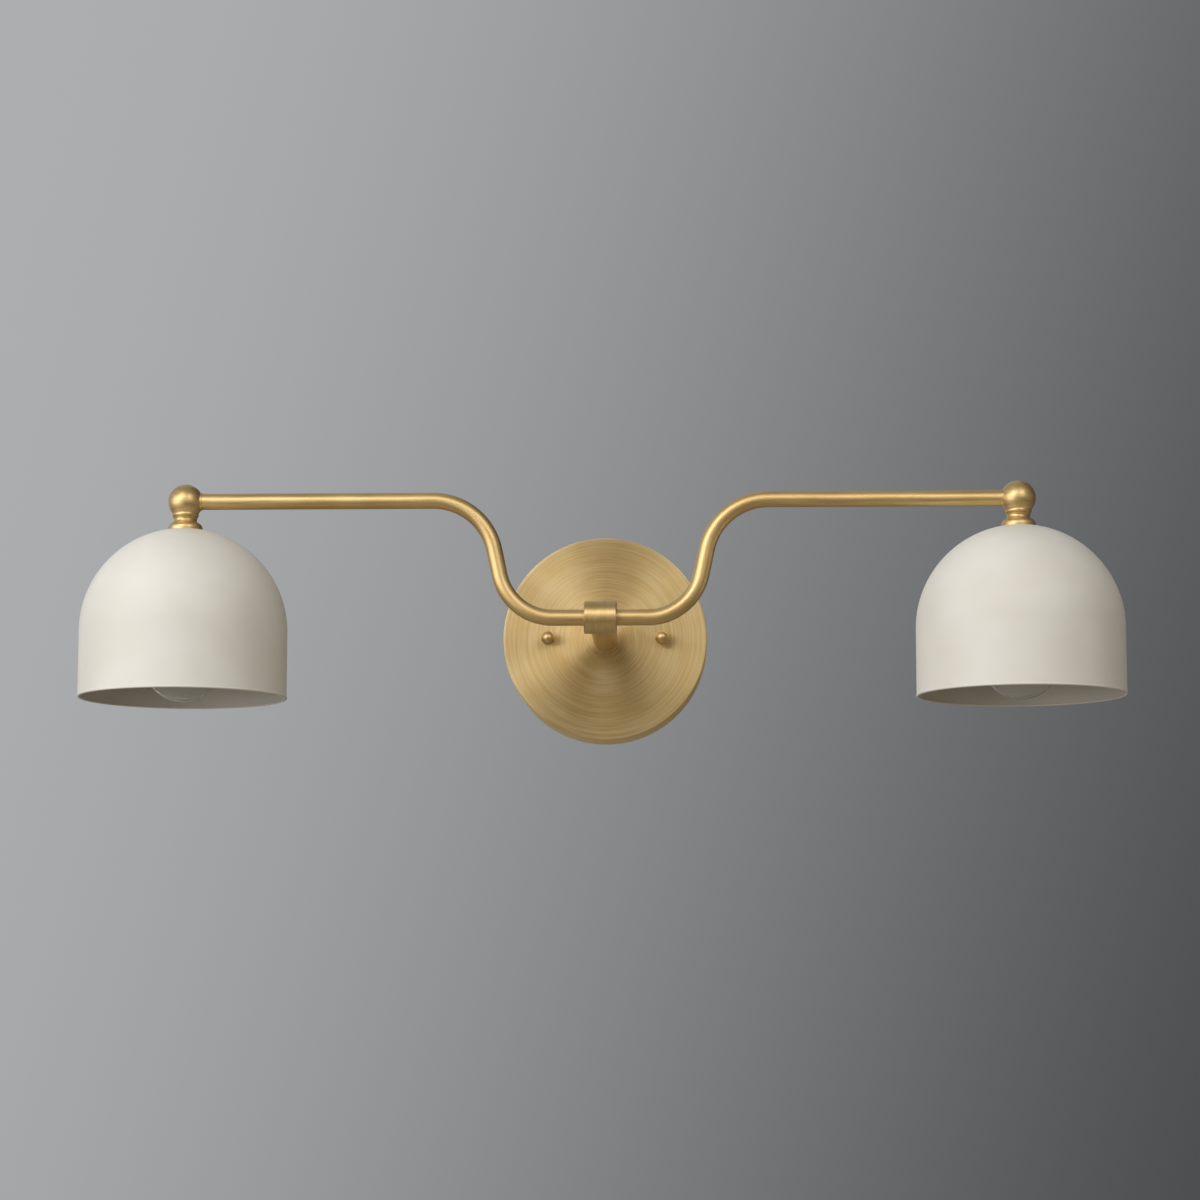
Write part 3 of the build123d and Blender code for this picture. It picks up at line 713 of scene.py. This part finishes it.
right_coil = copied(left_coil, "right_filament", to_the_right)

# %% [markdown]
# ## Colours and nodes
# Colours are written as sRGB hex codes, the way a paint chip is read off a screen, and turned to
# the linear values that Blender works in. One small function adds a node with its settings and
# its links, so that a material below reads as a list of what it is made of.


# %% Material helpers
def linear(code):
    """Linear colour of an sRGB hex code."""
    shares = [int(code[i:i + 2], 16) / 255 for i in (1, 3, 5)]
    return [*(s / 12.92 if s <= 0.04045 else ((s + 0.055) / 1.055) ** 2.4 for s in shares), 1.0]


def add_node(tree, kind, inputs, output=0, **settings):
    """Adds a node and gives one of its outputs. An input is a value or another node's output."""
    node = tree.nodes.new("ShaderNode" + kind)
    for name, value in settings.items():
        setattr(node, name, value)
    for name, value in inputs.items():
        if isinstance(value, bpy.types.NodeSocket):
            tree.links.new(value, node.inputs[name])
        else:
            node.inputs[name].default_value = value
    return node.outputs[output] if node.outputs else node


def new_finish(name):
    """A new material, its empty node tree, and the place of a point on the object."""
    finish = bpy.data.materials.new(name)
    finish.use_nodes = True
    finish.node_tree.nodes.clear()
    return finish, finish.node_tree, add_node(finish.node_tree, "TexCoord", {}, "Object")


noise_range = {"From Min": 0.3, "From Max": 0.7}  # a noise seldom leaves this range

# %% [markdown]
# ## Brass
# Brass is copper with about a third of zinc. On this light it is brushed and then lacquered, so it
# never mirrors: a highlight spreads into a soft band, paler in its middle where the lacquer shines
# too. A part that was brushed while it turned has marks round its axis, rings on a flat face and
# hoops on a side, and light fans out across them, which is what anisotropy draws. The marks are
# noise that runs fast with the radius and the height and slowly round the axis. Real marks are some
# hundredths of a millimetre wide, and are drawn coarser, or they wouldn't show at this distance.
# The backplate has paler tones than the other brass: painted brightness, which stands in for
# the stronger light that its face catches.

# %% Brass
# Each part's deep and pale tone. The marks, broad bands of them and slow clouds mix the two.
tube_tones, turned_tones = ("#D1B177", "#E4C68C"), ("#CFB077", "#E4C892")
# the backplate's paler copy of the brass tones is painted brightness, for the light it catches
plate_painted_bright_tones = ("#E7C888", "#FBE5B2")
deep_below, pale_above = 0.68, 1.08  # where the mixture reaches either tone
band_scale, band_share = 0.22, 0.35  # a band is as wide as some four or five marks
cloud_size, cloud_share = 18.0, 0.4  # a cloud is this wide in millimetres
mark_arc = 1.6  # how slowly the marks change round the axis, in mark widths
brass_shine_spread = 0.03
lacquer = {"Coat Weight": 0.4, "Coat Roughness": 0.3}


def brass_shader(tree, place, marks, height, tones, mark, depth, roughness, own):
    """Ends a brass material whose marks are so wide and deep, in millimetres.

    The marks follow a pattern vector and a height, and own holds the shader's other inputs.
    """
    noise = {"Vector": marks, "W": height, "Detail": 1.0}
    fine = add_node(
        tree, "TexNoise", {**noise, "Scale": 1 / (mark * mm)}, "Fac", noise_dimensions="4D"
    )
    band = add_node(
        tree, "TexNoise", {**noise, "Scale": band_scale / (mark * mm)}, "Fac",
        noise_dimensions="4D",
    )
    cloud = add_node(
        tree, "TexNoise", {"Vector": place, "Scale": 1 / (cloud_size * mm), "Detail": 1.0}, "Fac"
    )
    relief = add_node(
        tree, "Math", {0: band, 1: band_share, 2: fine}, operation="MULTIPLY_ADD"
    )
    tone = add_node(
        tree, "Math", {0: cloud, 1: cloud_share, 2: relief}, operation="MULTIPLY_ADD"
    )
    share = add_node(
        tree, "MapRange", {"Value": tone, "From Min": deep_below, "From Max": pale_above}
    )
    colour = add_node(
        tree, "Mix", {0: share, 6: linear(tones[0]), 7: linear(tones[1])}, 2, data_type="RGBA"
    )
    shine = add_node(tree, "MapRange", {
        "Value": fine, **noise_range,
        "To Min": roughness - brass_shine_spread, "To Max": roughness + brass_shine_spread,
    })
    bump = add_node(tree, "Bump", {"Height": relief, "Distance": depth * mm, "Strength": 1.0})
    brass = add_node(tree, "BsdfPrincipled", {
        "Base Color": colour, "Metallic": 1.0, "Roughness": shine, "Normal": bump,
        **lacquer, **own,
    })
    add_node(tree, "OutputMaterial", {"Surface": brass})


# %% Turned brass
def turned_brass(name, centre, axis, tones, mark, depth, roughness, anisotropy=0.0):
    """Brass brushed while it turned on an axis through the centre, in millimetres."""
    finish, tree, place = new_finish(name)
    along = {"X": X, "Y": Y, "Z": Z}[axis]
    out = add_node(tree, "Mapping", {"Vector": place, "Location": -Vector(centre) * mm})
    height = add_node(tree, "VectorMath", {0: out, 1: along}, "Value", operation="DOT_PRODUCT")
    across = add_node(
        tree, "VectorMath", {0: out, 1: Vector((1, 1, 1)) - along}, operation="MULTIPLY"
    )
    radius = add_node(tree, "VectorMath", {0: across}, "Value", operation="LENGTH")
    way = add_node(tree, "VectorMath", {0: across}, operation="NORMALIZE")
    from_axis = add_node(tree, "VectorMath", {0: along, "Scale": radius}, operation="SCALE")
    arc = Vector((1, 1, 1)) * mark_arc * mark * mm
    marks = add_node(
        tree, "VectorMath", {0: way, 1: arc, 2: from_axis}, operation="MULTIPLY_ADD"
    )
    own = {}
    if anisotropy:
        own["Anisotropic"] = anisotropy
        own["Anisotropic Rotation"] = 0.25  # a quarter turn, from along the marks to across them
        own["Tangent"] = add_node(tree, "Tangent", {}, direction_type="RADIAL", axis=axis)
    brass_shader(tree, place, marks, height, tones, mark, depth, roughness, own)
    return finish


# The numbers after the tones are a mark's width and depth, the roughness and the anisotropy.
plate_brass = turned_brass(
    "ring_brushed_brass", (0, 0, 0), "Y", plate_painted_bright_tones, 0.9, 0.008, 0.56, 0.95
)
collar_brass = turned_brass(
    "hoop_brushed_brass", (0, -arm_out, 0), "X", turned_tones, 0.6, 0.006, 0.42, 0.3
)
post_brass = turned_brass("satin_post_brass", (0, 0, 0), "Y", turned_tones, 0.5, 0.004, 0.42)
side_brass = [
    turned_brass(name, (x, -arm_out, 0), "Z", turned_tones, 0.5, 0.002, 0.44)
    for name, x in (("left_satin_brass", -arm_reach), ("right_satin_brass", arm_reach))
]
turned_parts = (plate_brass, collar_brass, post_brass, *side_brass)
print("turned brass:", [brass.name for brass in turned_parts])

# %% [markdown]
# The tube was brushed along its length instead. It bends in one plane, so the angle round the tube
# follows from the distance to that plane alone, and marks that depend on this angle run lengthwise
# through every bend. That distance is taken a little short, or the mesh's facets would show as
# speckles along the very front, where the angle changes fast with it.

# %% Tube brass
tube_mark, tube_mark_length, tube_mark_depth = 0.7, 30.0, 0.001
tube_roughness = 0.46
shortened = 0.95

tube_brass, tree, place = new_finish("length_brushed_brass")
parts = add_node(tree, "Mapping", {"Vector": place, "Location": (0, arm_out * mm, 0)})
to_share = Y * shortened / (tube_r * mm)
depth_share = add_node(
    tree, "VectorMath", {0: parts, 1: to_share}, "Value", operation="DOT_PRODUCT"
)
angle = add_node(tree, "Math", {0: depth_share}, operation="ARCCOSINE", use_clamp=False)
round_tube = add_node(tree, "Math", {0: angle, 1: tube_r * mm}, operation="MULTIPLY")
slow = Vector((1, 0, 1)) * tube_mark / tube_mark_length
marks = add_node(tree, "VectorMath", {0: place, 1: slow}, operation="MULTIPLY")
brass_shader(
    tree, place, marks, round_tube, tube_tones, tube_mark, tube_mark_depth, tube_roughness, {}
)
print(tube_brass.name, "has marks", tube_mark_length, "mm long")

# %% [markdown]
# ## Powder coat
# The shades are steel with a baked powder coat in cream. Powder melts into a skin with a faint
# orange peel, about a millimetre from crest to crest, and a matt additive spreads its shine wide.
# A trace of sheen keeps its turned-away sides pale, as they are on a matt coat.

# %% Powder coat
cream_low, cream_high = "#E0DDD5", "#E6E4DE"
peel_size, peel_depth = 0.9, 0.006
coat_cloud = 30.0  # the coat's thickness, and with it the colour, changes this slowly
coat_roughness = {"To Min": 0.52, "To Max": 0.62}

powder_coat, tree, place = new_finish("cream_powder_coat")
peel = add_node(
    tree, "TexNoise", {"Vector": place, "Scale": 1 / (peel_size * mm), "Detail": 1.0}, "Fac"
)
cloud = add_node(
    tree, "TexNoise", {"Vector": place, "Scale": 1 / (coat_cloud * mm), "Detail": 2.0}, "Fac"
)
share = add_node(tree, "MapRange", {"Value": cloud, **noise_range})
colour = add_node(
    tree, "Mix", {0: share, 6: linear(cream_low), 7: linear(cream_high)}, 2, data_type="RGBA"
)
shine = add_node(tree, "MapRange", {"Value": peel, **noise_range, **coat_roughness})
bump = add_node(tree, "Bump", {"Height": peel, "Distance": peel_depth * mm, "Strength": 1.0})
coat = add_node(tree, "BsdfPrincipled", {
    "Base Color": colour, "Roughness": shine, "Normal": bump, "IOR": 1.5,
    "Sheen Weight": 0.05, "Sheen Roughness": 0.5,
})
add_node(tree, "OutputMaterial", {"Surface": coat})
print(powder_coat.name, "has a peel of", peel_size, "mm")

# %% [markdown]
# ## Glass
# Clear soda-lime glass has an index of 1.52 and no colour of its own. Its wall is real here, so
# one shader on both faces is enough. A very slight unevenness stands for how it was blown, and a
# deeper one for the stem, which is pinched while it is soft. The globe also keeps a faint white
# haze, a diffuse share that stands in for the room's reflections in clear glass: a painted
# reflection, by which the eye finds it against the dim inside of the shade.

# %% Glass
glass_ior, blown_wave = 1.52, 9.0
most_roughness = 0.02


def clear_glass(name, tint, wave_depth, clearness):
    """Glass with waves so deep, in millimetres. What isn't clear in it shows as white haze, a
    painted reflection.
    """
    finish, tree, place = new_finish(name)
    waves = add_node(
        tree, "TexNoise", {"Vector": place, "Scale": 1 / (blown_wave * mm), "Detail": 0.0}, "Fac"
    )
    shine = add_node(tree, "MapRange", {"Value": waves, "To Min": 0.0, "To Max": most_roughness})
    bump = add_node(tree, "Bump", {"Height": waves, "Distance": wave_depth * mm, "Strength": 1.0})
    clear = add_node(tree, "BsdfPrincipled", {
        "Base Color": linear(tint), "Roughness": shine, "Normal": bump, "IOR": glass_ior,
        "Transmission Weight": clearness,
    })
    add_node(tree, "OutputMaterial", {"Surface": clear})
    return finish


# the globe's white haze, a fifth of its surface, is a painted reflection of the room
blown_glass = clear_glass("clear_blown_glass", "#FDFEFD", 0.02, 0.8)
stem_glass = clear_glass("pinched_stem_glass", "#EFF3EE", 0.05, 1.0)
print(blown_glass.name, "and", stem_glass.name, "are ready")

# %% [markdown]
# ## Small parts
# The rest is ordinary hardware. Zinc plate is a cool grey with a faint spangle, and blackened steel
# stays dark, with a dull shine. A ground screw has a green coat over its steel. Porcelain is a warm
# white under a wet glaze, and vitreous glass a hard, deep black. Drawn brass and rolled nickel plate
# are smooth and bright, tungsten is a dull warm grey, and moulded caps and wire insulation are
# satin plastic. They differ in colour, metallic share and shine, and each has a fine grain of its
# own, so one function makes them all.


# %% Small parts
shine_spread = 0.05


def plain_stock(name, low, high, grain, depth, roughness, **own):
    """A material with a grain so wide and deep, in millimetres, in its colour, shine and height."""
    finish, tree, place = new_finish(name)
    speckle = add_node(
        tree, "TexNoise", {"Vector": place, "Scale": 1 / (grain * mm), "Detail": 2.0}, "Fac"
    )
    share = add_node(tree, "MapRange", {"Value": speckle, **noise_range})
    colour = add_node(
        tree, "Mix", {0: share, 6: linear(low), 7: linear(high)}, 2, data_type="RGBA"
    )
    shine = add_node(tree, "MapRange", {
        "Value": speckle, **noise_range,
        "To Min": roughness - shine_spread, "To Max": roughness + shine_spread,
    })
    bump = add_node(tree, "Bump", {"Height": speckle, "Distance": depth * mm, "Strength": 1.0})
    stock = add_node(tree, "BsdfPrincipled", {
        "Base Color": colour, "Roughness": shine, "Normal": bump, **own,
    })
    add_node(tree, "OutputMaterial", {"Surface": stock})
    return finish


metal = {"Metallic": 1.0}
glaze = {"Coat Weight": 0.6, "Coat Roughness": 0.06}
finishes = {
    "zinc_steel": plain_stock("zinc_plated_steel", "#B4B3AE", "#CDCCC8", 1.2, 0.004, 0.38, **metal),
    "dark_screws": plain_stock("blackened_steel", "#26231F", "#3A362F", 0.6, 0.004, 0.45, **metal),
    "green_screw": plain_stock("green_coated_steel", "#1F5A2E", "#2A7440", 0.6, 0.003, 0.35),
    "connector_caps": plain_stock("moulded_thermoplastic", "#C46A1C", "#D67A2A", 1.0, 0.01, 0.5),
    "wire_sleeve": plain_stock("extruded_wire_insulation", "#DAD9D2", "#ECEBE5", 2.0, 0.004, 0.42),
    "glazed_ceramic": plain_stock(
        "glazed_porcelain", "#E6E3D9", "#F2F0E8", 3.0, 0.01, 0.15, **glaze
    ),
    "contact_brass": plain_stock(
        "drawn_contact_brass", "#C9A45A", "#DDBD78", 0.5, 0.003, 0.3, **metal
    ),
    "bulb_base_metal": plain_stock(
        "rolled_nickel_plate", "#BDBBB5", "#D0CECA", 0.5, 0.003, 0.27, **metal
    ),
    "black_glass": plain_stock("black_vitreous_glass", "#0C0C0E", "#16161A", 0.8, 0.004, 0.2),
    "filament_wire": plain_stock("wound_tungsten", "#94825F", "#B9A57C", 0.2, 0.002, 0.3, **metal),
    "brushed_brass": post_brass,
    "shade_enamel": powder_coat,
    "clear_glass": blown_glass,
}

# %% [markdown]
# ## Dressing the frame
# Every CAD node first gets the finish of its own slot. Then each new piece gets its finish, rides
# on the body it belongs to, and takes the place of the nodes that it stands for.

# %% Dress the nodes
subparts = frame["record"]["subparts"]
for part in subparts:
    for slot in nodes[part["node"]].material_slots:
        slot.material = finishes[part["material_slot"]]
print(len(subparts), "nodes have the finish of their slot")


# %% Dress the plate, the post and the arm
def settle(piece, finish, body, slot, *replaced):
    """Gives a piece its finish and body, and hides the nodes that it stands for. The slot is not
    used.
    """
    piece.data.materials.clear()
    piece.data.materials.append(finish)
    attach(piece, body)
    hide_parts(*replaced)
    print(f"{piece.name} rides on {body}")


settle(backplate, plate_brass, "wall_mount", "brushed_brass", "backplate")
settle(seat_ring, plate_brass, "wall_mount", "brushed_brass", "post_seat_ring")
settle(post, post_brass, "wall_mount", "brushed_brass", "post")
settle(collar, collar_brass, "wall_mount", "brushed_brass", "collar")
settle(left_nut, post_brass, "wall_mount", "brushed_brass", "cap_nuts")
settle(right_nut, post_brass, "wall_mount", "brushed_brass", "cap_nuts")
settle(arm, tube_brass, "arm", "brushed_brass", "arm_tube")

# %% Dress the two sides
# The left and the right piece, and what follows the side's name in its body and its node. A slot's
# own finish is used, except for brass that is brushed round the side's axis, and the stem's glass.
pairs = [
    (left_ball, right_ball, "head", "brushed_brass", "ball"),
    (left_neck, right_neck, "head", "brushed_brass", "neck"),
    (left_shade, right_shade, "head", "shade_enamel", "shade"),
    (left_cup, right_cup, "head", "brushed_brass", "socket_cup"),
    (left_porcelain, right_porcelain, "head", "glazed_ceramic", "socket_body"),
    (left_shell, right_shell, "head", "contact_brass", "socket_shell"),
    (left_glass, right_glass, "bulb", "clear_glass", "bulb_glass"),
    (left_base, right_base, "bulb", "bulb_base_metal", "bulb_base"),
    (left_stem, right_stem, "bulb", "clear_glass", "bulb_stem"),
    (left_coil, right_coil, "bulb", "filament_wire", "bulb_filament"),
]
for side, side_name in enumerate(("left", "right")):
    own_finishes = {**finishes, "brushed_brass": side_brass[side]}
    for *pair, body, slot, node in pairs:
        finish = stem_glass if node == "bulb_stem" else own_finishes[slot]
        settle(pair[side], finish, f"{side_name}_{body}", slot, f"{side_name}_{node}")

# %% [markdown]
# ## Studio
# A wall light hangs at head height, so its floor is nearly two metres below. Three softboxes light
# it: a wide one at the left, hardly above the light's own height, which gives the shades their
# round shape, and two smaller ones above in front, to the left and to the right, which open the two
# pairs of fans on the backplate. Each of them shows in the brass as a soft band, and the room
# between them stays dim, so that brass keeps darker edges.

# %% Floor
floor_level, floor_r = -1.95, 9.0  # metres
only()
bpy.ops.mesh.primitive_circle_add(
    vertices=64, radius=floor_r, fill_type="NGON", location=(0, 0, floor_level)
)
floor = bpy.context.object
floor.name = "floor"
into_mesh(floor)
floor.data.materials.append(plain_stock("pale_floor", "#C0B8A9", "#C6BEB0", 40.0, 0.0, 0.8))
print("floor", -floor_level, "m below the light")

# %% Lamps
# Degrees to the right of the front and above the horizon, metres away, width, height, radiance.
softboxes = {
    "key_softbox": (-53, 7, 2.3, 2.3, 1.7, 2.2),
    "upper_left_softbox": (-26, 31, 2.2, 1.2, 1.1, 3.4),
    "upper_right_softbox": (27, 29, 2.2, 1.1, 1.0, 2.9),
}
for name, (azimuth, elevation, distance, width, height, radiance) in softboxes.items():
    azimuth, elevation = math.radians(azimuth), math.radians(elevation)
    lamp_way = Vector((
        math.sin(azimuth) * math.cos(elevation), -math.cos(azimuth) * math.cos(elevation),
        math.sin(elevation),
    ))
    lamp_data = bpy.data.lights.new(name, "AREA")
    lamp_data.shape = "RECTANGLE"
    lamp_data.size, lamp_data.size_y = width, height
    lamp_data.energy = radiance * math.pi * width * height
    lamp = bpy.data.objects.new(name, lamp_data)
    lamp.location = collar_centre + lamp_way * distance
    lamp.rotation_euler = lamp_way.to_track_quat("Z", "Y").to_euler()
    lamp.visible_camera = False
    bpy.context.scene.collection.objects.link(lamp)
    print(name, "gives", round(lamp_data.energy, 1), "W")

# %% [markdown]
# The world is the wall's side, grey with the light falling off to the right, and the dim room in
# front. Both are one smooth change of colour with direction.

# %% World
room_front, wall_left, wall_right = "#8E8677", "#ACAEB0", "#48494B"
darker_way = (1, 0, -0.3)  # to the right and a little down
light_until, dark_from = -0.3, 0.22  # along that way
front_until, wall_from = -0.3, 0.4  # along the way into the wall
world = bpy.data.worlds.new("plain_room")
world.use_nodes = True
tree = world.node_tree
tree.nodes.clear()
way = add_node(tree, "TexCoord", {}, "Generated")
rightward = add_node(
    tree, "VectorMath", {0: way, 1: darker_way}, "Value", operation="DOT_PRODUCT"
)
fall_off = add_node(
    tree, "MapRange", {"Value": rightward, "From Min": light_until, "From Max": dark_from},
    interpolation_type="SMOOTHSTEP",
)
wall_side = add_node(
    tree, "Mix", {0: fall_off, 6: linear(wall_left), 7: linear(wall_right)}, 2, data_type="RGBA"
)
inward = add_node(tree, "VectorMath", {0: way, 1: Y}, "Value", operation="DOT_PRODUCT")
behind = add_node(
    tree, "MapRange", {"Value": inward, "From Min": front_until, "From Max": wall_from}
)
room_colour = add_node(
    tree, "Mix", {0: behind, 6: linear(room_front), 7: wall_side}, 2, data_type="RGBA"
)
background = add_node(tree, "Background", {"Color": room_colour, "Strength": 1.0})
add_node(tree, "OutputWorld", {"Surface": background})
bpy.context.scene.world = world
bpy.context.scene.view_settings.view_transform = "Standard"
print("world", bpy.context.scene.world.name)
